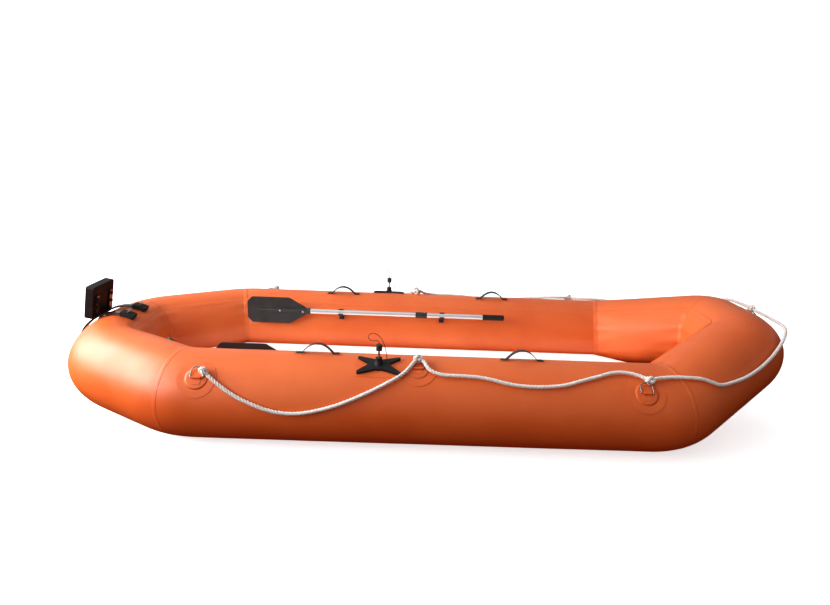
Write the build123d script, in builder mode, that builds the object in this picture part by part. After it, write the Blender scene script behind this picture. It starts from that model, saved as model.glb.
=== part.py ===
from build123d import *
import os
from math import atan2, cos, degrees, radians, sin, tan

# Inflatable dinghy with an air deck, two oars, rowlocks, a grab line and a motor mount.
# Millimetres: +X runs towards the bow, +Y to port, +Z up. The origin is on the ground
# under the middle of the boat. Starboard is side -1 and port is side 1.

os.makedirs("parts", exist_ok=True)
STARBOARD = -1
PORT = 1
SIDE_NAMES = {STARBOARD: "starboard", PORT: "port"}

# Driving dimensions of the hull
overall_length = 3290
tube_radius = 182
tube_spacing = 933
fabric = 1.2
end_axis_x = overall_length / 2 - tube_radius
side_axis_y = tube_spacing / 2
side_start_x = -1008
side_end_x = 1002
stern_corner_y = 200
nose_corner_y = 155
nose_axis_z = 325
baffle_x = -230

# Deck and bottom
deck_thickness = 100
deck_underside_z = 21
deck_inset = 159
deck_front_x = 1150
bottom_z = 10
bottom_inset = 70

# Sheets glued on the tubes
glue_gap = 0.1
patch_thickness = 1.3
patch_top = glue_gap + patch_thickness
ring_patch_radius = 75
rowlock_patch_length = 190
rowlock_patch_width = 112

# Places of the fittings along the side tubes
handle_stations = {"aft": -455, "fore": 380}
handle_angle = 96
rowlock_x = -202
rowlock_y = 530
ring_places = [(-895, 43), (-47, 66), (845, 42)]
nose_ring_angle = 44
clip_stations = (-448, 93)

# Oars: each is clipped at its own angle round the side tube
oar_angles = {STARBOARD: 165, PORT: 147}
oar_reach = 237
blade_tip_x = -944
shaft_radius = 13
shaft_joint_x = -18

# Motor mount, swung in arcs about the axis of the stern tube
arm_inner_radius = 190
arm_outer_radius = 197
arm_y = 60
arm_width = 28


def save(part, name):
    """Label a finished piece and write it to its own file."""
    part.label = name
    export_step(part, f"parts/{name}.step")


# ---------------------------------------------------------------- places on the tubes


def on_side_tube(station, angle, side):
    """Plane on a side tube: x along the tube, y up round it, z outward from its skin.

    The angle is 0 level outboard, 90 on top and 180 level inboard.
    """
    out_y = side * cos(radians(angle))
    out_z = sin(radians(angle))
    origin = (station, side * side_axis_y + tube_radius * out_y, tube_radius * (1 + out_z))
    return Plane(origin=origin, x_dir=(-side, 0, 0), z_dir=(0, out_y, out_z))


def on_nose_tube(angle):
    """Plane on the nose tube at the middle of the boat, y up round it and z outward."""
    ahead = cos(radians(angle))
    up = sin(radians(angle))
    origin = (end_axis_x + tube_radius * ahead, 0, nose_axis_z + tube_radius * up)
    return Plane(origin=origin, x_dir=(0, 1, 0), z_dir=(ahead, 0, up))


def on_stern_tube(y):
    """Plane square to the stern tube's axis, x forward and y up, with its origin on the axis."""
    return Plane(origin=(-end_axis_x, y, tube_radius), x_dir=(1, 0, 0), z_dir=(0, -1, 0))


def oar_axis(side):
    """Distance of an oar's axis from the middle plane, with its side's sign, and its height."""
    angle = radians(oar_angles[side])
    return side * (side_axis_y + oar_reach * cos(angle)), tube_radius + oar_reach * sin(angle)


def tube_shell(inner, outer, length):
    """Length of round shell about a tube's axis, seen from a point on the tube's skin."""
    with BuildPart() as shell:
        with BuildSketch(Plane.YZ.offset(-length / 2)):
            with Locations((0, -tube_radius)):
                Circle(tube_radius + outer)
                Circle(tube_radius + inner, mode=Mode.SUBTRACT)
        extrude(amount=length)
    return shell.part


def wrapped(outline, inner, outer):
    """Sheet with the outline of a flat face, wrapped on a tube between two heights."""
    reach = 60
    with BuildPart() as sheet:
        add(outline)
        extrude(amount=reach, both=True)
        add(tube_shell(inner, outer, 3 * reach + 60), mode=Mode.INTERSECT)
    return sheet.part


def round_patch(radius):
    with BuildSketch() as outline:
        Circle(radius)
    return wrapped(outline.face(), glue_gap, patch_top)


def square_patch(length, width, corner):
    with BuildSketch() as outline:
        RectangleRounded(length, width, corner)
    return wrapped(outline.face(), glue_gap, patch_top)


# ---------------------------------------------------------------- ring of tubes

axis_points = [
    Vector(-end_axis_x, -stern_corner_y, tube_radius),
    Vector(side_start_x, -side_axis_y, tube_radius),
    Vector(side_end_x, -side_axis_y, tube_radius),
    Vector(end_axis_x, -nose_corner_y, nose_axis_z),
    Vector(end_axis_x, nose_corner_y, nose_axis_z),
    Vector(side_end_x, side_axis_y, tube_radius),
    Vector(side_start_x, side_axis_y, tube_radius),
    Vector(-end_axis_x, stern_corner_y, tube_radius),
]
gore_names = [
    "starboard_stern_quarter",
    "starboard_side_tube",
    "starboard_bow_quarter",
    "bow_nose_tube",
    "port_bow_quarter",
    "port_side_tube",
    "port_stern_quarter",
    "stern_cross_tube",
]


def mitre_plane(before, corner, after):
    """Plane through a corner of the tube axis, square to the mean of its two directions."""
    direction = (corner - before).normalized() + (after - corner).normalized()
    return Plane(origin=corner, z_dir=direction)


def gore(index):
    """Skin round one straight stretch of the axis, cut at both ends on its mitre planes."""
    before, start, end, after = (axis_points[(index + step) % 8] for step in (-1, 0, 1, 2))
    direction = (end - start).normalized()
    overrun = 2 * tube_radius
    with BuildPart() as skin:
        with BuildSketch(Plane(origin=start - direction * overrun, z_dir=direction)):
            Circle(tube_radius)
            Circle(tube_radius - fabric, mode=Mode.SUBTRACT)
        extrude(amount=(end - start).length + 2 * overrun)
        split(bisect_by=mitre_plane(before, start, end), keep=Keep.TOP)
        split(bisect_by=mitre_plane(start, end, after), keep=Keep.BOTTOM)
    return skin.part


# ---------------------------------------------------------------- valves

valve_hole_radius = 24.6
valve_neck_radius = 24
valve_bore_radius = 22
flange_radius = 30
flange_thickness = 3
flange_gap = 0.3
neck_top = 9
seat_depth = 14
seat_thickness = 3
stem_radius = 3
stem_hole_radius = 3.06


def valve_planes():
    """Seats of the three valves, z out of the fabric: aft chamber, fore chamber, air deck."""
    quarter = (axis_points[0] - axis_points[1]).normalized()
    inward = Vector(0, 0, 1).cross(quarter) * -1
    lean = radians(35)
    aft_out = inward * cos(lean) + Vector(0, 0, sin(lean))
    aft_middle = (axis_points[0] + axis_points[1]) * 0.5
    aft = Plane(origin=aft_middle + aft_out * tube_radius, x_dir=quarter, z_dir=aft_out)
    fore = on_side_tube(640, 145, STARBOARD)
    deck_top = deck_underside_z + deck_thickness
    deck = Plane(origin=(-1000, -150, deck_top), x_dir=(1, 0, 0), z_dir=(0, 0, 1))
    return {"aft": aft, "fore": fore, "deck": deck}


def valve_body():
    """Flange, threaded neck, barrel and a seat with air holes round the stem guide."""
    with BuildPart() as body:
        with BuildSketch(Plane.XY.offset(flange_gap)):
            Circle(flange_radius)
        extrude(amount=flange_thickness)
        with BuildSketch(Plane.XY.offset(-24)):
            Circle(valve_neck_radius)
        extrude(amount=24 + neck_top)
        with BuildSketch(Plane.XY.offset(-24)):
            Circle(valve_bore_radius)
        extrude(amount=24 - seat_depth, mode=Mode.SUBTRACT)
        with BuildSketch(Plane.XY.offset(seat_thickness - seat_depth)):
            Circle(valve_bore_radius)
        extrude(amount=40, mode=Mode.SUBTRACT)
        with BuildSketch(Plane.XY.offset(-seat_depth)):
            Circle(stem_hole_radius)
            with PolarLocations(12.5, 6):
                Circle(4)
        extrude(amount=seat_thickness, mode=Mode.SUBTRACT)
    return body.part


def valve_cap():
    """Screw cap with finger grooves round its rim."""
    cap_bottom = flange_gap + flange_thickness + 0.3
    with BuildPart() as cap:
        with BuildSketch(Plane.XY.offset(cap_bottom)):
            Circle(27.5)
            with PolarLocations(29.5, 12):
                Circle(3.2, mode=Mode.SUBTRACT)
        extrude(amount=11.5)
        fillet(cap.edges().group_by(Axis.Z)[-1], radius=1.2)
        with BuildSketch(Plane.XY.offset(cap_bottom)):
            Circle(valve_neck_radius + 0.4)
        extrude(amount=6.2, mode=Mode.SUBTRACT)
    return cap.part


def valve_poppet():
    """Stem that rises through the seat, with the sealing disc under it."""
    with BuildPart() as poppet:
        with BuildSketch(Plane.XY.offset(-seat_depth - 3.2)):
            Circle(18)
        extrude(amount=3)
        with BuildSketch(Plane.XY.offset(-seat_depth - 3.2)):
            Circle(stem_radius)
        extrude(amount=seat_depth + 3.2 + 5)
    return poppet.part


# ---------------------------------------------------------------- fittings on the tubes

strap_width = 25
arch_half = 64
arch_height = 43
strap_thickness = 2.4
strap_base = 1.8
tab_end = 88


def handle_strap():
    """Webbing handle: an arch in the plane of x and z with a flat tab at each end."""
    inner_half = arch_half - strap_thickness
    with BuildPart() as strap:
        with BuildSketch(Plane.XZ):
            with BuildLine():
                outer = ThreePointArc((-arch_half, strap_base), (0, arch_height), (arch_half, strap_base))
                inner = ThreePointArc(
                    (-inner_half, strap_base),
                    (0, arch_height - strap_thickness),
                    (inner_half, strap_base),
                )
                Line(outer @ 0, inner @ 0)
                Line(outer @ 1, inner @ 1)
            make_face()
            tab_length = tab_end - inner_half
            for way in (-1, 1):
                with Locations((way * (inner_half + tab_length / 2), strap_base + strap_thickness / 2)):
                    Rectangle(tab_length, strap_thickness)
        extrude(amount=strap_width / 2, both=True)
    return strap.part


ring_wire_radius = 2.25
ring_half_width = 24
ring_height = 44
bar_height = 6.4


def d_ring():
    """Ring of bent wire: a straight bar along x, and a round top towards +y."""
    with BuildPart() as ring:
        with BuildLine(Plane.XY.offset(bar_height)):
            FilletPolyline(
                (0, 0),
                (ring_half_width, 0),
                (ring_half_width, ring_height),
                (-ring_half_width, ring_height),
                (-ring_half_width, 0),
                radius=[0, 5, 20, 20, 5],
                close=True,
            )
        with BuildSketch(Plane(origin=(0, 0, bar_height), z_dir=(1, 0, 0))):
            Circle(ring_wire_radius)
        sweep()
    return ring.part


def d_ring_tab():
    """Strip glued down on both sides of the ring's bar, with a tunnel for the bar."""
    tab_length = 34
    tab_lift = patch_top + 0.2
    tab_top = tab_lift + 1.8
    with BuildSketch() as outline:
        RectangleRounded(tab_length, 52, 5)
    with BuildPart() as tab:
        add(wrapped(outline.face(), tab_lift, tab_top))
        with BuildSketch(Plane.YZ.offset(-tab_length / 2)):
            with Locations((0, bar_height)):
                Circle(bar_height - tab_lift)
        extrude(amount=tab_length)
        with BuildSketch(Plane.YZ.offset(-tab_length / 2)):
            with Locations((0, bar_height)):
                Circle(ring_wire_radius + 0.1)
        extrude(amount=tab_length, mode=Mode.SUBTRACT)
    return tab.part


def oar_clip():
    """Stand-off clip: a foot on the tube, a stalk and an open jaw round the shaft."""
    axis_height = oar_reach - tube_radius
    clip_length = 25
    jaw_radius = shaft_radius + 0.1
    with BuildPart() as clip:
        with BuildSketch(Plane.YZ.offset(-clip_length / 2)):
            Rectangle(48, 12)
            with Locations((0, axis_height / 2)):
                Rectangle(12, axis_height)
            with Locations((0, axis_height)):
                Circle(jaw_radius + 5)
            with Locations((0, -tube_radius)):
                Circle(tube_radius + patch_top + 0.2, mode=Mode.SUBTRACT)
            with Locations((0, axis_height)):
                Circle(jaw_radius, mode=Mode.SUBTRACT)
            with Locations((0, axis_height + 25)):
                Rectangle(2 * jaw_radius, 50, mode=Mode.SUBTRACT)
            with Locations((0, axis_height + 35)):
                Rectangle(60, 50, mode=Mode.SUBTRACT)
        extrude(amount=clip_length)
    return clip.part


# ---------------------------------------------------------------- rowlocks

leg_tip_x = 79
leg_tip_y = 41
leg_tip_radius = 6
leg_root_radius = 22
base_thickness = 12
socket_radius = 13
socket_foot_z = 340
socket_top_z = 388
socket_depth_z = 24
pin_radius = 4
knob_radius = 12
knob_bottom_z = 419
knob_top_z = 443
knob_bore_depth = 17


def upright(side, height):
    """Level plane on a rowlock's upright axis."""
    return Plane(origin=(rowlock_x, side * rowlock_y, height))


def rowlock_seat(side):
    """Plane on the tube under a rowlock, square to the skin."""
    angle = degrees(atan2(rowlock_top(), rowlock_y - side_axis_y))
    return on_side_tube(rowlock_x, angle, side)


def rowlock_top():
    """Height of the skin above the tube's axis under the pin."""
    return (tube_radius**2 - (rowlock_y - side_axis_y) ** 2) ** 0.5


def rowlock_base(side):
    """Four-legged rubber base, wrapped on the tube, with an upright socket for the pin."""
    with BuildSketch() as legs:
        for ahead in (-1, 1):
            for across in (-1, 1):
                with BuildSketch(mode=Mode.PRIVATE) as leg:
                    Circle(leg_root_radius)
                    with Locations((ahead * leg_tip_x, across * leg_tip_y)):
                        Circle(leg_tip_radius)
                    make_hull()
                add(leg.sketch)
        Ellipse(46, 27)
    underside = patch_top + 0.2
    with BuildPart() as base:
        with Locations(rowlock_seat(side)):
            add(wrapped(legs.face(), underside, base_thickness))
        with BuildSketch(upright(side, socket_foot_z)):
            Circle(27)
        with BuildSketch(upright(side, socket_top_z - 14)):
            Circle(socket_radius)
        loft()
        with BuildSketch(upright(side, socket_foot_z)):
            Circle(socket_radius)
        extrude(amount=socket_top_z - socket_foot_z)
        with BuildSketch(Plane(origin=(rowlock_x - 60, side * side_axis_y, tube_radius), z_dir=(1, 0, 0))):
            Circle(tube_radius + underside)
        extrude(amount=120, mode=Mode.SUBTRACT)
        with BuildSketch(upright(side, socket_top_z - socket_depth_z)):
            Circle(pin_radius)
        extrude(amount=socket_depth_z, mode=Mode.SUBTRACT)
    return base.part


def rowlock_pin(side):
    """Plain upright pin from the bottom of the socket into the knob."""
    foot_z = socket_top_z - socket_depth_z
    with BuildPart() as pin:
        with BuildSketch(upright(side, foot_z)):
            Circle(pin_radius)
        extrude(amount=knob_bottom_z + knob_bore_depth - 1 - foot_z)
    return pin.part


def rowlock_knob(side):
    """Round knob with finger flutes and a blind bore for the pin."""
    with BuildPart() as knob:
        with BuildSketch(upright(side, knob_bottom_z)):
            Circle(knob_radius)
            with PolarLocations(knob_radius + 1.4, 8):
                Circle(2.4, mode=Mode.SUBTRACT)
        extrude(amount=knob_top_z - knob_bottom_z)
        with BuildSketch(upright(side, knob_bottom_z)):
            Circle(pin_radius + 0.06)
        extrude(amount=knob_bore_depth, mode=Mode.SUBTRACT)
    return knob.part


# ---------------------------------------------------------------- oars

blade_outline = [
    (0, -44),
    (24, -71),
    (222, -71),
    (318, -15),
    (318, 15),
    (222, 71),
    (24, 71),
    (0, 44),
]
blade_thickness = 5
blade_corner = 14
rib_tip_x = -904
socket_end_x = -610
socket_depth = 70
sleeve_start_x = -49
sleeve_end_x = 12
sleeve_radius = 16
shaft_bore_radius = 11.7
upper_shaft_radius = 12.93
grip_start_x = 311
grip_end_x = 426
grip_radius = 15
button_x = -2
button_radius = 4
button_hole_radius = 4.1


def oar_plane(x, side):
    """Plane square to an oar's axis at a station, z towards the bow."""
    axis_y, axis_z = oar_axis(side)
    return Plane(origin=(x, axis_y, axis_z), x_dir=(0, 1, 0), z_dir=(1, 0, 0))


def oar_length(side, start, end, radius, bore):
    """Round tube along an oar's axis."""
    with BuildPart() as tube:
        with BuildSketch(oar_plane(start, side)):
            Circle(radius)
            Circle(bore, mode=Mode.SUBTRACT)
        extrude(amount=end - start)
    return tube.part


def oar_blade(side):
    """Upright plate with a tapered rib that ends in the socket for the shaft."""
    axis_y, axis_z = oar_axis(side)
    flat = Plane(origin=(blade_tip_x, axis_y, axis_z), x_dir=(1, 0, 0), z_dir=(0, -1, 0))
    with BuildPart() as blade:
        with BuildSketch(flat) as outline:
            with BuildLine():
                Polyline(*blade_outline, close=True)
            make_face()
            fillet(outline.vertices(), radius=blade_corner)
        extrude(amount=blade_thickness / 2, both=True)
        with BuildSketch(oar_plane(rib_tip_x, side)):
            Circle(4)
        with BuildSketch(oar_plane(socket_end_x, side)):
            Circle(17)
        loft()
        with BuildSketch(oar_plane(socket_end_x - socket_depth, side)):
            Circle(shaft_radius)
        extrude(amount=socket_depth, mode=Mode.SUBTRACT)
    return blade.part


def button_plane(side, height):
    """Level plane across the snap button's axis."""
    axis_y, axis_z = oar_axis(side)
    return Plane(origin=(button_x, axis_y, axis_z + height))


def with_button_hole(tube, side):
    """Tube with a round hole in its top wall for the snap button."""
    with BuildPart() as drilled:
        add(tube)
        with BuildSketch(button_plane(side, 0)):
            Circle(button_hole_radius)
        extrude(amount=sleeve_radius + 4, mode=Mode.SUBTRACT)
    return drilled.part


def snap_button(side):
    with BuildPart() as button:
        with BuildSketch(button_plane(side, shaft_bore_radius - 5)):
            Circle(button_radius)
        extrude(amount=sleeve_radius + 3 - shaft_bore_radius + 5)
        fillet(button.edges().group_by(Axis.Z)[-1], radius=1.5)
    return button.part


def oar_grip(side):
    """Rubber grip with a closed, rounded end."""
    with BuildPart() as grip:
        with BuildSketch(oar_plane(grip_start_x, side)):
            Circle(grip_radius)
        extrude(amount=grip_end_x - grip_start_x)
        fillet(grip.edges().group_by(Axis.X)[-1], radius=6)
        with BuildSketch(oar_plane(grip_start_x, side)):
            Circle(upper_shaft_radius)
        extrude(amount=grip_end_x - grip_start_x - 8, mode=Mode.SUBTRACT)
    return grip.part


# ---------------------------------------------------------------- motor mount

board_width = 180
board_height = 158
board_thickness = 40
board_corner = 12
board_lean = 10
board_centre = Vector(-end_axis_x - 108, 0, tube_radius + 243)
board_forward = Vector(cos(radians(board_lean)), 0, -sin(radians(board_lean)))
leg_thickness = 5
leg_bottom = -78
leg_top = 34
bolt_heights = (-22, 16)
bolt_radius = 4
bolt_head_radius = 8
bolt_head_height = 4
arm_start_angle = 64
arm_end_angle = 152
foot_start_angle = 65
foot_end_angle = 83
foot_height = 23
foot_rim = 7
screw_angle = 74
screw_radius = 3


def board_plane(offset, y=0):
    """Plane parallel to the board's faces: x to port, y up the board, z forward."""
    origin = board_centre + Vector(0, y, 0) + board_forward * offset
    return Plane(origin=origin, x_dir=(0, 1, 0), z_dir=board_forward)


def arc_bar(plane, inner, outer, start, end, width):
    """Bar bent round the stern tube's axis."""
    with BuildPart() as bar:
        with BuildSketch(plane):
            with BuildLine():
                far = CenterArc((0, 0), outer, start, end - start)
                near = CenterArc((0, 0), inner, start, end - start)
                Line(far @ 0, near @ 0)
                Line(far @ 1, near @ 1)
            make_face()
        extrude(amount=width / 2, both=True)
    return bar.part


def mount_board():
    """Thick board with bevelled edges, stepped bolt holes and a notch at the bottom for each arm."""
    with BuildPart() as board:
        with BuildSketch(board_plane(-board_thickness / 2)):
            RectangleRounded(board_width, board_height, board_corner)
        extrude(amount=board_thickness)
        outer_faces = (board.faces().sort_by(Axis.X)[0], board.faces().sort_by(Axis.X)[-1])
        for face in outer_faces:
            chamfer(face.outer_wire().edges(), length=3)
        with BuildSketch(board_plane(-board_thickness / 2)):
            with Locations(*bolt_spots()):
                Circle(bolt_radius + 0.2)
        extrude(amount=board_thickness, mode=Mode.SUBTRACT)
        with BuildSketch(board_plane(-board_thickness / 2)):
            with Locations(*bolt_spots()):
                Circle(bolt_head_radius + 0.4)
        extrude(amount=bolt_head_height + 0.6, mode=Mode.SUBTRACT)
        for side in (STARBOARD, PORT):
            span = (arm_start_angle, arm_end_angle)
            seat = on_stern_tube(side * arm_y)
            add(arc_bar(seat, arm_inner_radius - 0.4, arm_outer_radius + 0.4, *span, arm_width + 0.8),
                mode=Mode.SUBTRACT)
    return board.part


def bolt_spots():
    """Places of the four bolts on the board's own plane."""
    return [(side * arm_y, height) for side in (STARBOARD, PORT) for height in bolt_heights]


def mount_arms():
    """Two bent bars that follow the stern tube, each with a leg up the board's front."""
    leg_length = leg_top - leg_bottom
    leg_middle = (leg_top + leg_bottom) / 2
    with BuildPart() as arms:
        for side in (STARBOARD, PORT):
            round_tube = on_stern_tube(side * arm_y)
            add(arc_bar(round_tube, arm_inner_radius, arm_outer_radius, arm_start_angle, arm_end_angle, arm_width))
        with BuildSketch(board_plane(board_thickness / 2 + 0.2)):
            with Locations((STARBOARD * arm_y, leg_middle), (PORT * arm_y, leg_middle)):
                Rectangle(arm_width, leg_length)
            with Locations(*bolt_spots()):
                Circle(bolt_radius + 0.2, mode=Mode.SUBTRACT)
        extrude(amount=leg_thickness)
    return arms.part


def mount_bolts():
    """Four through bolts with a round head sunk in the board and a hexagon nut on the leg."""
    grip = board_thickness + leg_thickness + 0.4
    with BuildPart() as bolts:
        with BuildSketch(board_plane(0.3 - board_thickness / 2)):
            with Locations(*bolt_spots()):
                Circle(bolt_head_radius)
        extrude(amount=bolt_head_height)
        with BuildSketch(board_plane(1 - board_thickness / 2)):
            with Locations(*bolt_spots()):
                Circle(bolt_radius)
        extrude(amount=grip + 7)
        with BuildSketch(board_plane(board_thickness / 2 + leg_thickness + 0.4)):
            with Locations(*bolt_spots()):
                RegularPolygon(7.5, 6)
        extrude(amount=6)
    return bolts.part


def mount_foot(side):
    """Rubber block on the stern tube with a curved slot for the arm and a screw hole."""
    plane = on_stern_tube(side * arm_y)
    span = (foot_start_angle, foot_end_angle)
    with BuildPart() as foot:
        add(arc_bar(plane, tube_radius + patch_top + 0.2, tube_radius + foot_height, *span, arm_width + 2 * foot_rim))
        slot = (foot_start_angle - 2, foot_end_angle + 4)
        slot_bar = arc_bar(plane, arm_inner_radius - 0.4, arm_outer_radius + 0.4, *slot, arm_width + 0.8)
        add(slot_bar, mode=Mode.SUBTRACT)
        with BuildSketch(screw_plane(side, arm_outer_radius - 1)):
            Circle(screw_radius + 0.08)
        extrude(amount=foot_height, mode=Mode.SUBTRACT)
    return foot.part


def screw_plane(side, radius):
    """Plane square to a thumb screw, at a distance from the stern tube's axis."""
    ahead = cos(radians(screw_angle))
    up = sin(radians(screw_angle))
    origin = (-end_axis_x + radius * ahead, side * arm_y, tube_radius + radius * up)
    return Plane(origin=origin, x_dir=(0, 1, 0), z_dir=(ahead, 0, up))


def thumb_screw(side):
    """Screw with two wings, just clear of the arm that it holds."""
    top = tube_radius + foot_height
    with BuildPart() as screw:
        with BuildSketch(screw_plane(side, arm_outer_radius + 0.5)):
            Circle(screw_radius)
        extrude(amount=top + 4 - arm_outer_radius)
        with BuildSketch(screw_plane(side, top + 1)):
            Circle(7)
        extrude(amount=9)
        with BuildSketch(screw_plane(side, top + 3)):
            SlotOverall(28, 5)
        extrude(amount=12)
    return screw.part


# ---------------------------------------------------------------- cords

rope_radius = 7
knot_radius = 16
aft_knot = (-868, -597, 335)
aft_span = [
    (-842, -612, 318),
    (-802, -627, 292),
    (-739, -644, 255),
    (-673, -654, 229),
    (-612, -659, 208),
    (-553, -660, 199),
    (-492, -660, 201),
    (-434, -657, 212),
    (-358, -653, 234),
    (-284, -642, 264),
    (-219, -626, 291),
    (-162, -607, 317),
    (-110, -582, 339),
    (-82, -553, 356),
    (-66, -526, 370),
]
middle_knot = (-48, -507, 379)
fore_span = [
    (-26, -516, 378),
    (-15, -541, 366),
    (0, -560, 353),
    (42, -576, 343),
    (112, -577, 342),
    (182, -579, 341),
    (233, -584, 336),
    (276, -594, 329),
    (330, -601, 321),
    (391, -604, 318),
    (455, -603, 320),
    (524, -597, 325),
    (594, -578, 340),
    (661, -560, 351),
    (727, -537, 363),
    (783, -536, 363),
    (826, -552, 359),
]
fore_knot = (859, -576, 351)
bow_span = [
    (893, -562, 354),
    (960, -550, 357),
    (1030, -549, 356),
    (1082, -546, 352),
    (1124, -549, 339),
    (1161, -546, 325),
    (1214, -522, 326),
    (1300, -478, 333),
    (1386, -424, 352),
    (1468, -366, 384),
    (1522, -323, 418),
    (1562, -285, 451),
    (1597, -229, 476),
    (1602, -150, 479),
    (1592, -70, 486),
]
nose_knot = (1572, 0, 494)

keeper_radius = 1.3
keeper_points = [
    (-170, -530, 366),
    (-170, -530, 378),
    (-172, -531, 401),
    (-177, -532, 426),
    (-185, -532, 452),
    (-198, -531, 475),
    (-216, -530, 488),
    (-234, -530, 489),
    (-246, -530, 478),
    (-243, -530, 464),
    (-231, -530, 457),
    (-215, -530, 459),
    (-205, -530, 457),
    (-202, -530, 451),
    (-202, -530, 443.3),
]


def mirrored(points):
    """The same points on the other side of the boat."""
    return [(x, -y, z) for x, y, z in points]


def bend_radii(points):
    """Radius at each corner of a route: as large as its two runs allow."""
    radii = []
    for before, corner, after in zip(points, points[1:], points[2:]):
        run_in = Vector(*corner) - Vector(*before)
        run_out = Vector(*after) - Vector(*corner)
        shorter = min(run_in.length, run_out.length)
        radii.append(0.45 * shorter / tan(radians(run_in.get_angle(run_out)) / 2))
    return radii


def cord(points, radius, name):
    """Tube along straight runs joined by arcs; prints its radii and its volume check."""
    radii = bend_radii(points)
    with BuildPart() as tube:
        with BuildLine() as path:
            FilletPolyline(*points, radius=radii)
        route = path.wires()[0]
        with BuildSketch(Plane(origin=route @ 0, z_dir=route % 0)):
            Circle(radius)
        sweep()
    length = route.length
    expected = 3.14159 * radius**2 * length
    print(name, "length", round(length), "radii", [round(bend) for bend in radii])
    print(name, "volume over section times length", round(tube.part.volume / expected, 4))
    return tube.part


# ---------------------------------------------------------------- build: hull

gores = {}
for gore_index, gore_name in enumerate(gore_names):
    gores[gore_name] = gore(gore_index)
valve_seats = valve_planes()

for gore_name, skin in gores.items():
    with BuildPart() as panel:
        add(skin)
        for valve_name, cut_name in (("aft", "starboard_stern_quarter"), ("fore", "starboard_side_tube")):
            if cut_name == gore_name:
                with BuildSketch(valve_seats[valve_name]):
                    Circle(valve_hole_radius)
                extrude(amount=12, both=True, mode=Mode.SUBTRACT)
    save(panel.part, gore_name)

with BuildPart() as baffles:
    for side in (STARBOARD, PORT):
        with BuildSketch(Plane(origin=(baffle_x, side * side_axis_y, tube_radius), z_dir=(1, 0, 0))):
            Circle(tube_radius - fabric - 0.3)
    extrude(amount=fabric)
save(baffles.part, "tube_baffles")


def inside_outline(inset, front_x):
    """Plan outline inside the ring of tubes, a distance in from their axes."""
    flat_axis = [(point.X, point.Y) for point in axis_points]
    with BuildSketch() as outline:
        with BuildLine():
            Polyline(*flat_axis, close=True)
        make_face()
        offset(amount=-inset, kind=Kind.INTERSECTION)
        with Locations((front_x, 0)):
            Rectangle(2000, 3000, align=(Align.MIN, Align.CENTER), mode=Mode.SUBTRACT)
    return outline.face()


with BuildPart() as bottom:
    add(inside_outline(bottom_inset, side_end_x + 60).moved(Location((0, 0, bottom_z))))
    extrude(amount=fabric)
save(bottom.part, "bottom_fabric")


def deck_body(shrink):
    """Air deck outline with round edges, smaller all round by an amount."""
    outline = inside_outline(deck_inset + shrink, deck_front_x - shrink)
    height = deck_thickness - 2 * shrink
    with BuildPart() as body:
        add(outline.moved(Location((0, 0, deck_underside_z + shrink))))
        extrude(amount=height)
        fillet(body.edges().filter_by(Axis.Z), radius=70 - shrink)
        level_faces = body.faces().filter_by(Axis.Z)
        fillet(level_faces.edges(), radius=height / 2 - 0.8)
    return body.part


with BuildPart() as air_deck:
    add(deck_body(0))
    add(deck_body(fabric), mode=Mode.SUBTRACT)
    with BuildSketch(valve_seats["deck"]):
        Circle(valve_hole_radius)
    extrude(amount=12, both=True, mode=Mode.SUBTRACT)
save(air_deck.part, "air_deck")

# ---------------------------------------------------------------- build: valves

with BuildPart() as valve_bodies:
    with Locations(*valve_seats.values()):
        add(valve_body())
save(valve_bodies.part, "valve_bodies")

for valve_name, seat in valve_seats.items():
    with BuildPart() as cap_in_place:
        with Locations(seat):
            add(valve_cap())
    save(cap_in_place.part, f"{valve_name}_valve_cap")
    with BuildPart() as poppet_in_place:
        with Locations(seat):
            add(valve_poppet())
    save(poppet_in_place.part, f"{valve_name}_valve_poppet")

# ---------------------------------------------------------------- build: fittings

handle_patch_planes = []
for side in (STARBOARD, PORT):
    for place_name, station in handle_stations.items():
        with BuildPart() as handle:
            with Locations(on_side_tube(station, handle_angle, side)):
                add(handle_strap())
        save(handle.part, f"{SIDE_NAMES[side]}_{place_name}_handle")
        for way in (-1, 1):
            patch_station = station + way * (arch_half + tab_end) / 2
            handle_patch_planes.append(on_side_tube(patch_station, handle_angle, side))

with BuildPart() as handle_patches:
    with Locations(*handle_patch_planes):
        add(square_patch(46, 44, 8))
save(handle_patches.part, "handle_patches")

ring_planes = [on_side_tube(*place, side) for side in (STARBOARD, PORT) for place in ring_places]
ring_planes.append(on_nose_tube(nose_ring_angle))
for node_name, shape in (("d_rings", d_ring()), ("d_ring_tabs", d_ring_tab())):
    with BuildPart() as seven:
        with Locations(*ring_planes):
            add(shape)
    save(seven.part, node_name)

# The round patches stop short of the rowlock patches where the two would meet
with BuildPart() as ring_patches:
    with Locations(*ring_planes):
        add(round_patch(ring_patch_radius))
    with Locations(rowlock_seat(STARBOARD), rowlock_seat(PORT)):
        add(square_patch(rowlock_patch_length + 1, rowlock_patch_width + 1, 12), mode=Mode.SUBTRACT)
save(ring_patches.part, "d_ring_patches")

clip_planes = {
    side: [on_side_tube(station, angle, side) for station in clip_stations] for side, angle in oar_angles.items()
}
for side, planes in clip_planes.items():
    with BuildPart() as clips:
        with Locations(*planes):
            add(oar_clip())
    save(clips.part, f"{SIDE_NAMES[side]}_oar_clips")
with BuildPart() as clip_patches:
    with Locations(*clip_planes[STARBOARD], *clip_planes[PORT]):
        add(square_patch(64, 70, 10))
save(clip_patches.part, "clip_patches")

with BuildPart() as rowlock_patches:
    with Locations(rowlock_seat(STARBOARD), rowlock_seat(PORT)):
        add(square_patch(rowlock_patch_length, rowlock_patch_width, 12))
save(rowlock_patches.part, "rowlock_patches")

for side, side_name in SIDE_NAMES.items():
    save(rowlock_base(side), f"{side_name}_rowlock_base")
    save(rowlock_pin(side), f"{side_name}_rowlock_pin")
    save(rowlock_knob(side), f"{side_name}_rowlock_knob")

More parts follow.
